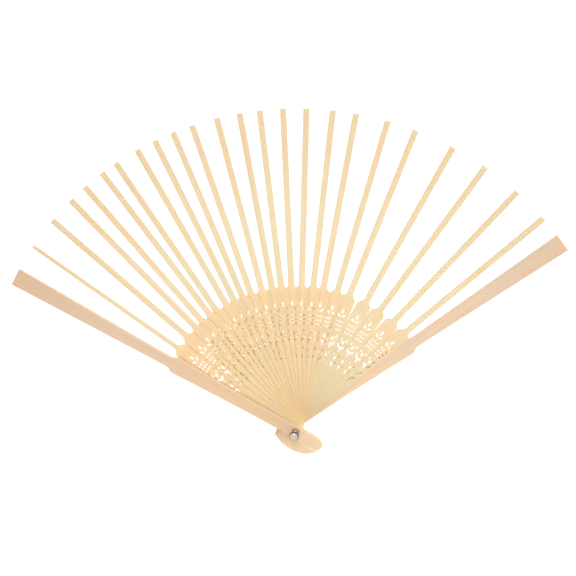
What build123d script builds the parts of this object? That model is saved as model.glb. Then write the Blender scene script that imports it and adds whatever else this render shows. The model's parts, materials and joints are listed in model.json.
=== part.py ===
from build123d import *

import os

# Stick set of a folding hand fan: two guard sticks, twenty-three pierced ribs and the rivet they turn on.
#
# Frame: the fan lies flat and open. The rivet's axis is Z, z = 0 is the underside of the lower guard stick,
# and +Y is the middle of the spread. Each stick lies in its own layer, one above the other.

os.makedirs("parts", exist_ok=True)

# ---------------------------------------------------------------- driving dimensions, mm and degrees
REACH = 211.0  # rivet axis to the sticks' tips
TAIL = 20.2  # rivet axis to the sticks' rounded tails

GUARD_THICKNESS = 2.4
RIB_THICKNESS = 0.8
LAYER_GAP = 0.1

# how far each stick lies from the one below it, from the lower guard to the upper: they were spread by hand
SPREAD_STEPS = (
    5.5, 6.5, 7, 6.5, 7, 5, 5.5, 4, 4.5, 4, 4, 3.5, 4, 4.5, 3.5, 3.5, 3.5, 4.5, 3, 4, 3.5, 5, 6, 6.5
)

# Outlines. A pair is a half-width and its distance from the rivet.
# every stick: the waist at the rivet and the tail behind it
WAIST = (4.0, 5.0)
TAIL_HALF_WIDTH = 4.1
TAIL_WIDEST_Y = -11.0

# ribs: a narrow slip, an ogee shoulder and a broad part
SLIP_WIDTH = 3.9
LAST_SLIP_WIDTHS = (3.0, 2.3)  # the rib beside the upper guard is shaved narrower, at its root and at its tip
SLIP_ROOT_Y = 97.5
RIB_SHOULDER = (4.85, 92.2)

# guard sticks
GUARD_TIP_WIDTH = 12.0
GUARD_BLADE_ROOT = (3.6, 104.0)
GUARD_NECK = (3.55, 96.2)
GUARD_SHOULDER = (5.75, 89.7)
GUARD_MIDDLE = (4.6, 56.0)
GUARD_EDGE_RADIUS = 0.5

# Pierced pattern. y is measured from the rivet along the rib; a leaf is its length and its width;
# side leaves come in pairs, at this far left and right of the centre line, leaning outwards by an angle.
SPRIG_TOP_LEAF, SPRIG_TOP_Y = (3.8, 1.7), 84.1
SPRIG_SIDE_LEAF, SPRIG_SIDE_AT, SPRIG_SIDE_LEAN = (3.4, 1.5), (1.6, 80.9), 42

DOT_RADIUS = 0.73
DOT_PITCH_X = 2.03
DOT_PITCH_Y = 2.85
DOTS_Y = 73.75

TULIP_BUD, TULIP_BUD_Y = (3.2, 1.7), 64.1
TULIP_PETAL, TULIP_PETAL_AT, TULIP_PETAL_LEAN = (2.7, 1.2), (2.07, 65.9), 0
TULIP_CUP = (2.7, 63.2)  # half-width across the cup's horns, and their y
TULIP_CUP_INNER_Y, TULIP_CUP_OUTER_Y = 60.9, 59.1
TULIP_STEM_END_Y, TULIP_STEM_WIDTH = 56.75, 0.9

FLOWER_BUD, FLOWER_BUD_Y = (3.0, 1.6), 52.1
FLOWER_PETAL, FLOWER_PETAL_AT, FLOWER_PETAL_LEAN = (2.2, 0.8), (1.85, 54.2), 12
FLOWER_CUP = (2.1, 49.8)
FLOWER_CUP_INNER_Y, FLOWER_CUP_OUTER_Y = 48.5, 47.2
FLOWER_STEM_END_Y, FLOWER_STEM_WIDTH = 45.0, 0.8

# rivet
PIN_RADIUS = 1.25
HOLE_RADIUS = 1.32
PIN_SLACK = 6.0  # bare pin between the upper washer and the cap: the room that a leaf's folds would fill
CAP_RADIUS = 3.2
CAP_RIM = 0.5
CAP_HEIGHT = 2.6
CAP_SOCKET_RADIUS = 1.27
PIN_IN_CAP = 1.4
UPPER_WASHER_RADIUS = 3.0
LOWER_WASHER_RADIUS = 3.6
WASHER_HOLE_RADIUS = 1.35
WASHER_THICKNESS = 0.4
LOWER_HEAD_RADIUS = 2.9
LOWER_HEAD_CHAMFER = 0.3
LOWER_HEAD_DEPTH = 0.15  # the lower head lies this far inside the guard's underside
RECESS_RADIUS = 3.7
RECESS_DEPTH = 1.3

# ---------------------------------------------------------------- layers and directions
RIB_COUNT = len(SPREAD_STEPS) - 1
LAYER_PITCH = RIB_THICKNESS + LAYER_GAP
LOWEST_RIB_Z = GUARD_THICKNESS + LAYER_GAP
UPPER_GUARD_Z = LOWEST_RIB_Z + RIB_COUNT * LAYER_PITCH

LOWER_WASHER_Z = RECESS_DEPTH - WASHER_THICKNESS
UPPER_WASHER_Z = UPPER_GUARD_Z + GUARD_THICKNESS + LAYER_GAP
CAP_Z = UPPER_WASHER_Z + WASHER_THICKNESS + PIN_SLACK
CAP_TOP_Z = CAP_Z + CAP_HEIGHT
PIN_TOP_Z = CAP_Z + PIN_IN_CAP
SOCKET_TOP_Z = PIN_TOP_Z + LAYER_GAP


def lean(stick):
    """Angle of a stick from +Y, counter-clockwise; 0 is the lower guard and the last one is the upper guard."""
    return sum(SPREAD_STEPS[:stick]) - sum(SPREAD_STEPS) / 2


def stick_plane(stick, height):
    """The plane a stick is drawn on: its origin on the rivet axis and its own Y towards the stick's tip."""
    return Plane.XY.offset(height).rotated((0, 0, lean(stick)))


# ---------------------------------------------------------------- outlines
def tail_edges():
    """The right-hand edge from the waist round the tail to its end on the centre line."""
    Line(WAIST, (TAIL_HALF_WIDTH, TAIL_WIDEST_Y))
    EllipticalCenterArc(
        (0, TAIL_WIDEST_Y), TAIL_HALF_WIDTH, TAIL + TAIL_WIDEST_Y, start_angle=270, arc_size=90
    )


def ogee(upper, lower):
    """An S of two equal arcs between two points, parallel to the stick at both ends."""
    inflection = (Vector(upper) + Vector(lower)) / 2
    TangentArc(upper, inflection, tangent=(0, -1))
    TangentArc(lower, inflection, tangent=(0, 1))


def rib_outline(slip_root_width, slip_tip_width):
    """A rib: a narrow slip for the leaf, an ogee shoulder, a broad part that tapers, and the tail."""
    slip_root = (slip_root_width / 2, SLIP_ROOT_Y)
    with BuildSketch() as outline:
        with BuildLine():
            Polyline((0, REACH), (slip_tip_width / 2, REACH), slip_root)
            ogee(slip_root, RIB_SHOULDER)
            Line(RIB_SHOULDER, WAIST)
            tail_edges()
            mirror(about=Plane.YZ)
        make_face()
        Circle(HOLE_RADIUS, mode=Mode.SUBTRACT)
    return outline.sketch


def guard_outline():
    """A guard stick: a blade that widens to its tip, a neck, a rounded shoulder, and the waist and tail."""
    with BuildSketch() as outline:
        with BuildLine():
            Polyline((0, REACH), (GUARD_TIP_WIDTH / 2, REACH), GUARD_BLADE_ROOT, GUARD_NECK)
            ogee(GUARD_NECK, GUARD_SHOULDER)
            ThreePointArc(GUARD_SHOULDER, GUARD_MIDDLE, WAIST)
            tail_edges()
            mirror(about=Plane.YZ)
        make_face()
        Circle(HOLE_RADIUS, mode=Mode.SUBTRACT)
    return outline.sketch


# ---------------------------------------------------------------- pierced pattern
def leaf(length, width):
    """A pointed leaf along Y, made of two equal arcs."""
    with BuildSketch() as blade:
        with BuildLine():
            ThreePointArc((0, -length / 2), (width / 2, 0), (0, length / 2))
            ThreePointArc((0, length / 2), (-width / 2, 0), (0, -length / 2))
        make_face()
    return blade.sketch


def three_leaves(middle_leaf, middle_y, side_leaf, side_at, side_lean):
    """A leaf on the centre line and a pair beside it that lean outwards."""
    side_x, side_y = side_at
    with BuildSketch() as leaves:
        with Locations((0, middle_y)):
            add(leaf(*middle_leaf))
        for side in (-1, 1):
            with Locations(Location((side * side_x, side_y), -side * side_lean)):
                add(leaf(*side_leaf))
    return leaves.sketch


def calyx(horn, inner_y, outer_y, stem_end_y, stem_width):
    """A cup under a bud: a crescent with its horns towards the tip, and a round-ended stem below it."""
    half_width, horn_y = horn
    stem_start_y = outer_y + stem_width
    with BuildSketch() as cup:
        with BuildLine():
            ThreePointArc((-half_width, horn_y), (0, outer_y), (half_width, horn_y))
            ThreePointArc((half_width, horn_y), (0, inner_y), (-half_width, horn_y))
        make_face()
        with Locations((0, (stem_start_y + stem_end_y) / 2)):
            SlotOverall(stem_start_y - stem_end_y, stem_width, rotation=90)
    return cup.sketch


def pierced_pattern():
    """The cut-outs of a rib: a three-leaf sprig, a square of dots, a tulip and a small flower."""
    with BuildSketch() as pattern:
        add(three_leaves(SPRIG_TOP_LEAF, SPRIG_TOP_Y, SPRIG_SIDE_LEAF, SPRIG_SIDE_AT, SPRIG_SIDE_LEAN))
        with Locations((0, DOTS_Y)):
            with GridLocations(DOT_PITCH_X, DOT_PITCH_Y, 3, 3):
                Circle(DOT_RADIUS)
        add(three_leaves(TULIP_BUD, TULIP_BUD_Y, TULIP_PETAL, TULIP_PETAL_AT, TULIP_PETAL_LEAN))
        add(calyx(TULIP_CUP, TULIP_CUP_INNER_Y, TULIP_CUP_OUTER_Y, TULIP_STEM_END_Y, TULIP_STEM_WIDTH))
        add(three_leaves(FLOWER_BUD, FLOWER_BUD_Y, FLOWER_PETAL, FLOWER_PETAL_AT, FLOWER_PETAL_LEAN))
        add(calyx(FLOWER_CUP, FLOWER_CUP_INNER_Y, FLOWER_CUP_OUTER_Y, FLOWER_STEM_END_Y, FLOWER_STEM_WIDTH))
    return pattern.sketch


# ---------------------------------------------------------------- sticks
guard_shape = guard_outline()
rib_shape = rib_outline(SLIP_WIDTH, SLIP_WIDTH)
last_rib_shape = rib_outline(*LAST_SLIP_WIDTHS)
piercings = pierced_pattern()

with BuildPart() as guard_stick_lower:
    with BuildSketch(stick_plane(0, 0)):
        add(guard_shape)
    extrude(amount=GUARD_THICKNESS)
    underside = guard_stick_lower.faces().sort_by(Axis.Z)[0]
    fillet(underside.outer_wire().edges(), GUARD_EDGE_RADIUS)
    with BuildSketch(Plane.XY):
        Circle(RECESS_RADIUS)
    extrude(amount=RECESS_DEPTH, mode=Mode.SUBTRACT)
guard_stick_lower.part.label = "guard_stick_lower"
export_step(guard_stick_lower.part, "parts/guard_stick_lower.step")

with BuildPart() as guard_stick_upper:
    with BuildSketch(stick_plane(RIB_COUNT + 1, UPPER_GUARD_Z)):
        add(guard_shape)
    extrude(amount=GUARD_THICKNESS)
    show_face = guard_stick_upper.faces().sort_by(Axis.Z)[-1]
    fillet(show_face.outer_wire().edges(), GUARD_EDGE_RADIUS)
guard_stick_upper.part.label = "guard_stick_upper"
export_step(guard_stick_upper.part, "parts/guard_stick_upper.step")

for number in range(1, RIB_COUNT + 1):
    with BuildPart() as rib:
        with BuildSketch(stick_plane(number, LOWEST_RIB_Z + (number - 1) * LAYER_PITCH)):
            add(last_rib_shape if number == RIB_COUNT else rib_shape)
            add(piercings, mode=Mode.SUBTRACT)
        extrude(amount=RIB_THICKNESS)
    rib.part.label = f"rib_{number:02d}"
    export_step(rib.part, f"parts/rib_{number:02d}.step")

# ---------------------------------------------------------------- rivet
with BuildPart() as rivet_pin:
    with BuildSketch(Plane.XY.offset(LOWER_HEAD_DEPTH)):
        Circle(LOWER_HEAD_RADIUS)
    extrude(amount=LOWER_WASHER_Z - LOWER_HEAD_DEPTH)
    chamfer(rivet_pin.edges().group_by(Axis.Z)[0], LOWER_HEAD_CHAMFER)
    with BuildSketch(Plane.XY.offset(LOWER_HEAD_DEPTH)):
        Circle(PIN_RADIUS)
    extrude(amount=PIN_TOP_Z - LOWER_HEAD_DEPTH)
rivet_pin.part.label = "rivet_pin"
export_step(rivet_pin.part, "parts/rivet_pin.step")

with BuildPart() as rivet_cap:
    with BuildSketch(Plane.XZ):
        with BuildLine():
            Polyline(
                (0, CAP_TOP_Z),
                (0, SOCKET_TOP_Z),
                (CAP_SOCKET_RADIUS, SOCKET_TOP_Z),
                (CAP_SOCKET_RADIUS, CAP_Z),
                (CAP_RADIUS, CAP_Z),
                (CAP_RADIUS, CAP_Z + CAP_RIM),
            )
            Spline((CAP_RADIUS, CAP_Z + CAP_RIM), (0, CAP_TOP_Z), tangents=[(0, 1), (-1, 0)])
        make_face()
    revolve(axis=Axis.Z)
rivet_cap.part.label = "rivet_cap"
export_step(rivet_cap.part, "parts/rivet_cap.step")


def washer_outline(radius):
    """A flat ring round the pin."""
    with BuildSketch() as ring:
        Circle(radius)
        Circle(WASHER_HOLE_RADIUS, mode=Mode.SUBTRACT)
    return ring.sketch


with BuildPart() as rivet_washer_lower:
    with BuildSketch(Plane.XY.offset(LOWER_WASHER_Z)):
        add(washer_outline(LOWER_WASHER_RADIUS))
    extrude(amount=WASHER_THICKNESS)
rivet_washer_lower.part.label = "rivet_washer_lower"
export_step(rivet_washer_lower.part, "parts/rivet_washer_lower.step")

with BuildPart() as rivet_washer_upper:
    with BuildSketch(Plane.XY.offset(UPPER_WASHER_Z)):
        add(washer_outline(UPPER_WASHER_RADIUS))
    extrude(amount=WASHER_THICKNESS)
rivet_washer_upper.part.label = "rivet_washer_upper"
export_step(rivet_washer_upper.part, "parts/rivet_washer_upper.step")
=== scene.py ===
"""Looks of the folding fan's stick set: wood for every stick, polished metal for the rivet, floor, light, camera."""

import json
import math
import random

import bpy
from mathutils import Matrix, Vector


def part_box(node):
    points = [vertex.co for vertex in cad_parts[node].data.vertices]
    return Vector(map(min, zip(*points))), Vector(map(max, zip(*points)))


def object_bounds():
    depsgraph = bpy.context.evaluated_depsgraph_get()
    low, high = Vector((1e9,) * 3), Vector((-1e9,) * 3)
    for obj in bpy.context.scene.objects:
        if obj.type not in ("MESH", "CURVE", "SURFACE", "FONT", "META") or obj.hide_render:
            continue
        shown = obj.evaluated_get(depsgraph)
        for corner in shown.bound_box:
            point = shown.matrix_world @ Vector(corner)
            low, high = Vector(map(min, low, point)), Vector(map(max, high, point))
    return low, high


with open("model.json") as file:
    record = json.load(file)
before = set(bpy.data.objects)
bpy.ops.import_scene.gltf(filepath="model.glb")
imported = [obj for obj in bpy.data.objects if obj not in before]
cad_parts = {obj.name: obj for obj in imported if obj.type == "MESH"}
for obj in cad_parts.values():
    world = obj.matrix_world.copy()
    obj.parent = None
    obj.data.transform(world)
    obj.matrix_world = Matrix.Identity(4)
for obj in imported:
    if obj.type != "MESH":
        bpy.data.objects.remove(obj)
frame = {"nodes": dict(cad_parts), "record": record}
cad_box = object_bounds()

MM = 0.001

# ---------------------------------------------------------------- driving values
# The wood's features: sizes across and along a stick.
PATCH_SIZE = (5 * MM, 40 * MM)
BAND_SIZE = (1.6 * MM, 150 * MM)
FIBRE_SIZE = (0.28 * MM, 16 * MM)
PORE_SIZE = (0.13 * MM, 1.6 * MM)
EDGE_LINE_SIZE = (0.6 * MM, 9 * MM)
END_GRAIN_SIZE = 0.25 * MM
GRAIN_RUNOUT = 0.8  # degrees, the most that a stick's grain runs off its length
FIBRE_RELIEF = 0.015 * MM
PORE_RELIEF = 0.02 * MM
RELIEF_STRENGTH = 0.6
EDGE_SHADE_RADIUS = 0.8 * MM

# How much of each feature's colour shows, from 0 to 1.
STREAK_SHARES = (0.25, 0.55)  # the least and the most that a stick can have
BAND_SHARE = 0.26
FIBRE_SHARE = 0.15
PORE_SHARE = 0.14
TIP_SHADE_SHARE = 0.36
RIVET_SHADE_SHARE = 0.2
WALL_BOUNCE_SHARE = 0.6
END_GRAIN_SHARES = (0.3, 0.9)
EDGE_LINE_SHARES = (0.5, 0.85)

# The wood's surface, and how far red, green and blue light spreads inside the thin wood.
WOOD_ROUGHNESS = (0.42, 0.6)
RUBBED_SMOOTHING = 0.2
WOOD_GLOSS = 0.4
TRANSLUCENCY = 0.6
LIGHT_SPREAD = (1.0, 0.6, 0.35)
LIGHT_DEPTH = 2 * MM

# Stretches of a stick, each as two distances from the rivet. The tail's side of the rivet is negative.
TAIL_SPAN = (-4 * MM, 3 * MM)
TAIL_EDGE_SPAN = (-10 * MM, -2 * MM)
RIVET_SPAN = (-8 * MM, 8 * MM)
RIVET_SHADE_SPAN = (8 * MM, 45 * MM)
FREE_SPAN = (80 * MM, 105 * MM)
TIP_SHADE_SPAN = (120 * MM, 215 * MM)
RIB_ROOT_SPAN = (89 * MM, 103 * MM)
GUARD_ROOT_SPAN = (20 * MM, 130 * MM)

# The rivet's plating. The three scales are features per metre.
HAZE_SCALE = (900, 900, 900)
SPOT_SCALE = (2600, 2600, 2600)
SCRATCH_SCALE = (9000, 700, 3000)
SCRATCH_TURN = 0.6
# The cap keeps its bright middle within this radius of this point; further out it has a painted reflection of the
# wood.
CAP_BRIGHT_AT = (0, 1.0 * MM)
CAP_BRIGHT_RADIUS = 1.2 * MM
CAP_RIM_RADIUS = 3.15 * MM
INNER_BRIGHT_RADIUS = 1.0 * MM
INNER_RIM_RADIUS = 3.6 * MM
RIM_DARK_WIDTH = 0.5 * MM
PLATING_UNEVENNESS = 0.6 * MM
SPOT_SHARE = 0.5
PLATING_ROUGHNESS = (0.18, 0.45)
SCRATCH_RELIEF = 0.01 * MM
SCRATCH_STRENGTH = 0.25

# Rounded edges.
STICK_EDGE = 0.08 * MM
RIVET_EDGE = 0.06 * MM
EDGE_SEGMENTS = 2
SHARP_ANGLE = 40
JOINING_DISTANCE = 0.001 * MM

# Floor and studio.
FLOOR_SIZE = 8
FLOOR_GREY = 0.35
FLOOR_GLOW = 0.85
FLOOR_ROUGHNESS = 0.9
FLOOR_GLOSS = 0.1
STUDIO_BRIGHTNESS = 0.86

# ---------------------------------------------------------------- the fan's layout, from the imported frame
FOLLOW_RATIO = {c["joint"]: c["ratio"] for c in frame["record"]["behaviour"]["couplings"]}
RIBS = sorted(name for name in frame["nodes"] if name.startswith("rib_"))
LOWER_GUARD = "guard_stick_lower"
UPPER_GUARD = "guard_stick_upper"


def guard_lean(name):
    """Angle of a guard stick from +Y, counter-clockwise, from the place of its tip in the frame."""
    low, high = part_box(name)
    outward = max(low.x, high.x, key=abs)
    return -math.atan2(outward, high.y)


def stick_lean(name):
    """Angle of any stick from +Y, counter-clockwise."""
    if name in (LOWER_GUARD, UPPER_GUARD):
        return guard_lean(name)
    share = FOLLOW_RATIO[f"{name}_swivel"]
    lower, upper = guard_lean(LOWER_GUARD), guard_lean(UPPER_GUARD)
    return lower + share * (upper - lower)


# ---------------------------------------------------------------- colours
def linear(red, green, blue):
    """An sRGB colour, 0 to 255 per channel, as Blender's linear RGBA."""
    def channel(value):
        value /= 255
        return value / 12.92 if value <= 0.04045 else ((value + 0.055) / 1.055) ** 2.4

    return (channel(red), channel(green), channel(blue), 1.0)


# ---------------------------------------------------------------- node helpers
class Tree:
    """A short way to write a material's nodes. Any input can be a number or colour, or another node's output."""

    def __init__(self, name):
        self.material = bpy.data.materials.new(name)
        self.material.use_nodes = True
        self.nodes = self.material.node_tree.nodes
        self.links = self.material.node_tree.links
        self.shader = self.nodes["Principled BSDF"]

    def add(self, kind, inputs=(), **settings):
        node = self.nodes.new(kind)
        for key, value in settings.items():
            setattr(node, key, value)
        for socket, value in dict(inputs).items():
            self.plug(node.inputs[socket], value)
        return node

    def plug(self, socket, value):
        if isinstance(value, bpy.types.NodeSocket):
            self.links.new(value, socket)
        else:
            socket.default_value = value

    def math(self, operation, a, b=0.0):
        return self.add("ShaderNodeMath", {0: a, 1: b}, operation=operation).outputs[0]

    def mapping(self, vector, scale=(1, 1, 1), turn=0.0, shift=(0, 0, 0)):
        inputs = {"Vector": vector, "Scale": scale, "Rotation": (0, 0, turn), "Location": shift}
        return self.add("ShaderNodeMapping", inputs).outputs[0]

    def noise(self, vector, detail=2.0, roughness=0.5):
        inputs = {"Vector": vector, "Scale": 1.0, "Detail": detail, "Roughness": roughness}
        return self.add("ShaderNodeTexNoise", inputs).outputs[0]

    def between(self, value, low, high, to_low=0.0, to_high=1.0):
        inputs = {"Value": value, "From Min": low, "From Max": high, "To Min": to_low, "To Max": to_high}
        return self.add("ShaderNodeMapRange", inputs, interpolation_type="SMOOTHSTEP").outputs[0]

    def mix(self, factor, a, b):
        node = self.add("ShaderNodeMix", data_type="RGBA")
        self.plug(node.inputs[0], factor)
        self.plug(node.inputs[6], a)
        self.plug(node.inputs[7], b)
        return node.outputs[2]

    def bump(self, height, distance, strength, normal=None):
        inputs = {"Height": height, "Distance": distance, "Strength": strength}
        if normal is not None:
            inputs["Normal"] = normal
        return self.add("ShaderNodeBump", inputs).outputs[0]

    def split(self, vector):
        return self.add("ShaderNodeSeparateXYZ", {0: vector}).outputs


# ---------------------------------------------------------------- wood
def wood(name, lean, seed, face, streak, shade, root, tail, side, root_span, root_share=1.0):
    """Fine-grained pale wood with its grain along a stick.

    face, streak and shade are the sanded face's own colour, its warmer streaks and its darker lines; shade also
    colours the painted shade at the tips and near the rivet. side is painted warm light bounced onto the edges'
    walls. The face
    turns to the colour root towards the rivet, over root_span, two distances from the rivet, and as far as
    root_share:
    painted light, warmer where the stacked sticks bounce light onto each other. Behind the rivet it is the colour
    tail, painted lighter where the guard and the stack cast shade.
    """
    draw = random.Random(seed)
    tree = Tree(name)
    coordinates = tree.add("ShaderNodeTexCoord").outputs
    along = tree.mapping(coordinates["Object"], turn=-lean)
    from_rivet = tree.split(along)[1]
    runout = math.radians(draw.uniform(-GRAIN_RUNOUT, GRAIN_RUNOUT))
    start = tuple(draw.uniform(-1, 1) for _ in range(3))
    grain = tree.mapping(along, turn=runout, shift=start)

    def stretched(across, length):
        """The grain's coordinates, with features of these sizes across and along the stick."""
        return tree.mapping(grain, scale=(1 / across, 1 / length, 1 / across))

    patches = tree.noise(stretched(*PATCH_SIZE))
    bands = tree.noise(stretched(*BAND_SIZE), detail=3.0, roughness=0.6)
    fibres = tree.noise(stretched(*FIBRE_SIZE), detail=3.0, roughness=0.65)
    pores = tree.noise(stretched(*PORE_SIZE), detail=1.0)

    # painted bounced light: towards the rivet, where the sticks lie stacked, the face is painted warmer
    near_rivet = tree.between(from_rivet, *root_span, root_share, 0.0)
    colour = tree.mix(near_rivet, face, root)
    # painted light: behind the rivet, where the guard and the stack cast shade, the sticks are painted lighter
    colour = tree.mix(tree.between(from_rivet, *TAIL_SPAN, 1.0, 0.0), colour, tail)
    colour = tree.mix(tree.between(patches, 0.4, 0.75, 0.0, draw.uniform(*STREAK_SHARES)), colour, streak)
    colour = tree.mix(tree.between(bands, 0.35, 0.8, 0.0, BAND_SHARE), colour, shade)
    colour = tree.mix(tree.between(fibres, 0.3, 0.75, 0.0, FIBRE_SHARE), colour, shade)
    pore_mask = tree.between(pores, 0.66, 0.78, 0.0, PORE_SHARE)
    colour = tree.mix(pore_mask, colour, shade)

    # painted shade: the tips are painted a little darker and greyer, as less light falls on them
    tip_shade = tree.between(from_rivet, *TIP_SHADE_SPAN, 0.0, TIP_SHADE_SHARE)
    colour = tree.mix(tip_shade, colour, shade)

    # painted shade: just in front of the rivet, where the sticks lie stacked and shade each other, the stack is
    # painted a little darker
    in_front = tree.between(from_rivet, *RIVET_SPAN)
    rivet_shade = tree.math("MULTIPLY", in_front, tree.between(from_rivet, *RIVET_SHADE_SPAN, RIVET_SHADE_SHARE, 0.0))
    colour = tree.mix(rivet_shade, colour, shade)

    # painted bounced light: walls are painted warmer, as lit by light bounced between the sticks; cut ends get
    # darker, dotted end grain
    normal = tree.split(tree.mapping(coordinates["Normal"], turn=-lean))
    wall = tree.between(tree.math("ABSOLUTE", normal[2]), 0.25, 0.8, WALL_BOUNCE_SHARE, 0.0)
    colour = tree.mix(wall, colour, side)
    end = tree.between(tree.math("ABSOLUTE", normal[1]), 0.8, 0.97)
    dots = tree.noise(stretched(END_GRAIN_SIZE, END_GRAIN_SIZE))
    end_colour = tree.mix(tree.between(dots, 0.45, 0.65, *END_GRAIN_SHARES), colour, shade)
    colour = tree.mix(end, colour, end_colour)

    # painted shade of the rounded edges: a narrow, broken, greyer line where the sticks lie free, which is also a
    # little smoother
    eased = tree.add("ShaderNodeBevel", {"Radius": EDGE_SHADE_RADIUS}, samples=4).outputs[0]
    flat = tree.add("ShaderNodeNewGeometry").outputs["Normal"]
    alike = tree.add("ShaderNodeVectorMath", {0: eased, 1: flat}, operation="DOT_PRODUCT").outputs["Value"]
    edge = tree.between(alike, 0.78, 0.99, 1.0, 0.0)
    edge_line = tree.between(tree.noise(stretched(*EDGE_LINE_SIZE), detail=3.0), 0.35, 0.65, *EDGE_LINE_SHARES)
    free_end = tree.between(from_rivet, *FREE_SPAN)
    free_tail = tree.between(from_rivet, *TAIL_EDGE_SPAN, 1.0, 0.0)
    edge_line = tree.math("MULTIPLY", edge_line, tree.math("MAXIMUM", free_end, free_tail))
    edge = tree.math("MULTIPLY", edge, edge_line)
    colour = tree.mix(edge, colour, EDGE_SHADE)

    tree.plug(tree.shader.inputs["Base Color"], colour)
    roughness = tree.between(fibres, 0.2, 0.8, *WOOD_ROUGHNESS)
    smoothing = tree.math("MULTIPLY", edge, RUBBED_SMOOTHING)
    tree.plug(tree.shader.inputs["Roughness"], tree.math("SUBTRACT", roughness, smoothing))
    tree.shader.inputs["Specular IOR Level"].default_value = WOOD_GLOSS
    tree.shader.inputs["Subsurface Weight"].default_value = TRANSLUCENCY
    tree.shader.inputs["Subsurface Radius"].default_value = LIGHT_SPREAD
    tree.shader.inputs["Subsurface Scale"].default_value = LIGHT_DEPTH
    relief = tree.bump(fibres, FIBRE_RELIEF, RELIEF_STRENGTH)
    relief = tree.bump(tree.math("MULTIPLY", pore_mask, -1.0), PORE_RELIEF, RELIEF_STRENGTH, relief)
    tree.plug(tree.shader.inputs["Normal"], relief)
    return tree.material


EDGE_SHADE = linear(150, 142, 126)
RIB_SLIP = linear(203, 195, 163)
RIB_STREAK = linear(214, 189, 149)
RIB_SHADE = linear(188, 164, 126)
RIB_ROOT_BOUNCE = linear(214, 189, 149)
RIB_LIT_TAIL = linear(247, 218, 188)
RIB_WALL_BOUNCE = linear(236, 190, 126)
GUARD_STREAK = linear(210, 180, 146)
GUARD_SHADE = linear(182, 150, 122)
GUARD_LIT_TAIL = linear(218, 194, 162)
GUARD_WALL_BOUNCE = linear(214, 184, 148)
GUARD_FACES = {LOWER_GUARD: linear(204, 186, 163), UPPER_GUARD: linear(203, 180, 154)}
GUARD_ROOT_BOUNCES = {LOWER_GUARD: linear(222, 192, 158), UPPER_GUARD: linear(210, 181, 148)}


def assign(name, material):
    """The only material of a node."""
    slots = frame["nodes"][name].data.materials
    slots.clear()
    slots.append(material)


for number, name in enumerate(RIBS):
    colours = (RIB_SLIP, RIB_STREAK, RIB_SHADE, RIB_ROOT_BOUNCE, RIB_LIT_TAIL, RIB_WALL_BOUNCE)
    # share is how much painted bounced light a rib's root gets
    share = min(1.0, max(0.25, 0.2 * number - 0.3))  # the lowest ribs are palest
    assign(name, wood(f"{name}_wood", stick_lean(name), 100 + number, *colours, RIB_ROOT_SPAN, share))
for number, name in enumerate((LOWER_GUARD, UPPER_GUARD)):
    colours = (GUARD_FACES[name], GUARD_STREAK, GUARD_SHADE, GUARD_ROOT_BOUNCES[name], GUARD_LIT_TAIL, GUARD_WALL_BOUNCE)
    assign(name, wood(f"{name}_wood", stick_lean(name), 200 + number, *colours, GUARD_ROOT_SPAN))


# ---------------------------------------------------------------- rivet
def plated(name, bright, outer, dark_colour, middle_radius, rim_radius, bright_at=(0, 0)):
    """Polished plating: bright around bright_at, in a second colour further out, darker at the rim, with spots and
    hairlines. On the cap the second colour is a painted reflection of the wood.
    """
    tree = Tree(name)
    place = tree.add("ShaderNodeTexCoord").outputs["Object"]
    haze = tree.noise(tree.mapping(place, scale=HAZE_SCALE), detail=3.0)
    spots = tree.noise(tree.mapping(place, scale=SPOT_SCALE))
    scratches = tree.noise(tree.mapping(place, scale=SCRATCH_SCALE, turn=SCRATCH_TURN))

    def distance(x, y):
        """Distance from a line parallel to the rivet's axis, a little uneven."""
        flat = tree.mapping(place, scale=(1, 1, 0), shift=(-x, -y, 0))
        length = tree.add("ShaderNodeVectorMath", {0: flat}, operation="LENGTH").outputs["Value"]
        return tree.math("ADD", length, tree.math("MULTIPLY", haze, PLATING_UNEVENNESS))

    # further out, the second colour: on the cap a painted reflection of the wood
    outer_share = tree.between(distance(*bright_at), middle_radius, 0.5 * (middle_radius + rim_radius))
    # darker towards the rim
    rim = tree.between(distance(0, 0), rim_radius - RIM_DARK_WIDTH, rim_radius)
    rim_and_spots = tree.math("MAXIMUM", rim, tree.between(spots, 0.62, 0.78, 0.0, SPOT_SHARE))
    colour = tree.mix(outer_share, bright, outer)
    tree.plug(tree.shader.inputs["Base Color"], tree.mix(rim_and_spots, colour, dark_colour))
    tree.shader.inputs["Metallic"].default_value = 1.0
    tree.plug(tree.shader.inputs["Roughness"], tree.between(rim_and_spots, 0.0, 1.0, *PLATING_ROUGHNESS))
    tree.plug(tree.shader.inputs["Normal"], tree.bump(scratches, SCRATCH_RELIEF, SCRATCH_STRENGTH))
    return tree.material


NICKEL = linear(224, 216, 220)
CAP_WOOD_REFLECTION = linear(238, 211, 184)
CAP_DARK = linear(122, 104, 92)
WASHER = linear(236, 224, 212)
WASHER_DARK = linear(186, 168, 152)
cap_plating = plated("cap_plating", NICKEL, CAP_WOOD_REFLECTION, CAP_DARK, CAP_BRIGHT_RADIUS, CAP_RIM_RADIUS, CAP_BRIGHT_AT)
assign("rivet_cap", cap_plating)
inner_plating = plated("inner_plating", WASHER, WASHER, WASHER_DARK, INNER_BRIGHT_RADIUS, INNER_RIM_RADIUS)
for name in ("rivet_pin", "rivet_washer_lower", "rivet_washer_upper"):
    assign(name, inner_plating)


# ---------------------------------------------------------------- softened edges
def soften(name, width):
    """Small rounded edges: the imported faces are joined, and every sharp edge gets a bevel."""
    piece = frame["nodes"][name]
    weld = piece.modifiers.new("joined", "WELD")
    weld.merge_threshold = JOINING_DISTANCE
    bevel = piece.modifiers.new("eased_edges", "BEVEL")
    bevel.width = width
    bevel.segments = EDGE_SEGMENTS
    bevel.limit_method = "ANGLE"
    bevel.angle_limit = math.radians(SHARP_ANGLE)


for name in (*RIBS, LOWER_GUARD, UPPER_GUARD):
    soften(name, STICK_EDGE)
for name in ("rivet_cap", "rivet_washer_upper", "rivet_washer_lower"):
    soften(name, RIVET_EDGE)


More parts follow.
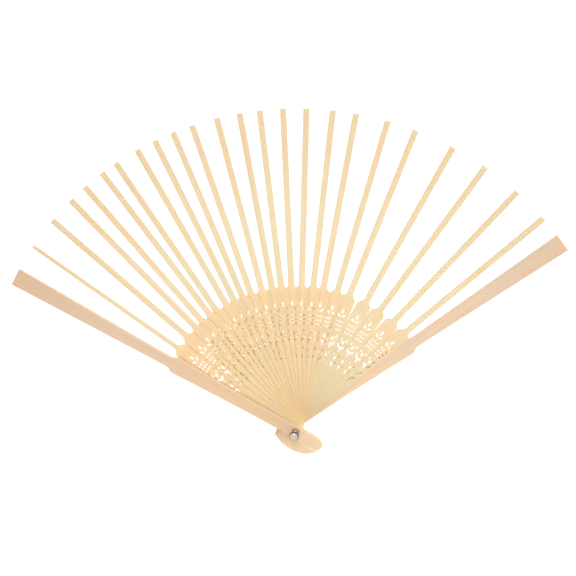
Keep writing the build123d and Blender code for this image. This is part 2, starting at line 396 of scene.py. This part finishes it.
# ---------------------------------------------------------------- floor, light, camera
def pale_floor():
    """A plain white table top, well beyond the camera's view."""
    bpy.ops.mesh.primitive_plane_add(size=FLOOR_SIZE)
    floor = bpy.context.object
    floor.name = "floor"
    tree = Tree("floor_paint")
    tree.shader.inputs["Base Color"].default_value = (FLOOR_GREY, FLOOR_GREY, FLOOR_GREY, 1)
    tree.shader.inputs["Roughness"].default_value = FLOOR_ROUGHNESS
    tree.shader.inputs["Specular IOR Level"].default_value = FLOOR_GLOSS
    tree.shader.inputs["Emission Color"].default_value = (1, 1, 1, 1)
    tree.shader.inputs["Emission Strength"].default_value = FLOOR_GLOW
    floor.data.materials.append(tree.material)


def soft_box(name, place, aim, size, power, mirrored=False):
    """A square area light that faces aim. Polished metal shows it only if it is mirrored."""
    light = bpy.data.lights.new(name, "AREA")
    light.shape = "SQUARE"
    light.size = size
    light.energy = power
    lamp = bpy.data.objects.new(name, light)
    lamp.location = place
    lamp.visible_glossy = mirrored
    lamp.rotation_euler = (Vector(aim) - Vector(place)).to_track_quat("-Z", "Y").to_euler()
    bpy.context.scene.collection.objects.link(lamp)


CAMERA_PLACE = Vector((0.1038, 0.2775, 0.7381))
CAMERA_FORWARD = Vector((-0.13628, -0.24144, -0.96080)).normalized()
CAMERA_UP = Vector((0.04427, 0.96749, -0.24902))
CAMERA_VIEW_ANGLE = 27.9


def camera():
    """The photograph's view: almost straight down, from a little beyond the tips."""
    data = bpy.data.cameras.new("camera")
    data.angle = math.radians(CAMERA_VIEW_ANGLE)
    data.clip_start = 0.01
    data.clip_end = 50
    right = CAMERA_FORWARD.cross(CAMERA_UP).normalized()
    up = right.cross(CAMERA_FORWARD)
    turn = Matrix((right, up, -CAMERA_FORWARD)).transposed()
    seen_from = bpy.data.objects.new("camera", data)
    seen_from.matrix_world = Matrix.Translation(CAMERA_PLACE) @ turn.to_4x4()
    bpy.context.scene.collection.objects.link(seen_from)
    bpy.context.scene.camera = seen_from


pale_floor()
middle = (Vector(cad_box[0]) + Vector(cad_box[1])) / 2
soft_box("key_light", (1.0, 0.75, 1.3), middle, size=1.3, power=20)
soft_box("fill_light", (-0.8, -0.5, 1.2), middle, size=1.2, power=4)
soft_box("glint_light", (0.1, 0.6, 0.95), (0, 0, 0.03), size=0.3, power=1.5, mirrored=True)

world = bpy.data.worlds.new("studio")
world.use_nodes = True
world.node_tree.nodes["Background"].inputs["Color"].default_value = (1, 1, 1, 1)
world.node_tree.nodes["Background"].inputs["Strength"].default_value = STUDIO_BRIGHTNESS
bpy.context.scene.world = world
bpy.context.scene.view_settings.view_transform = "Standard"

camera()
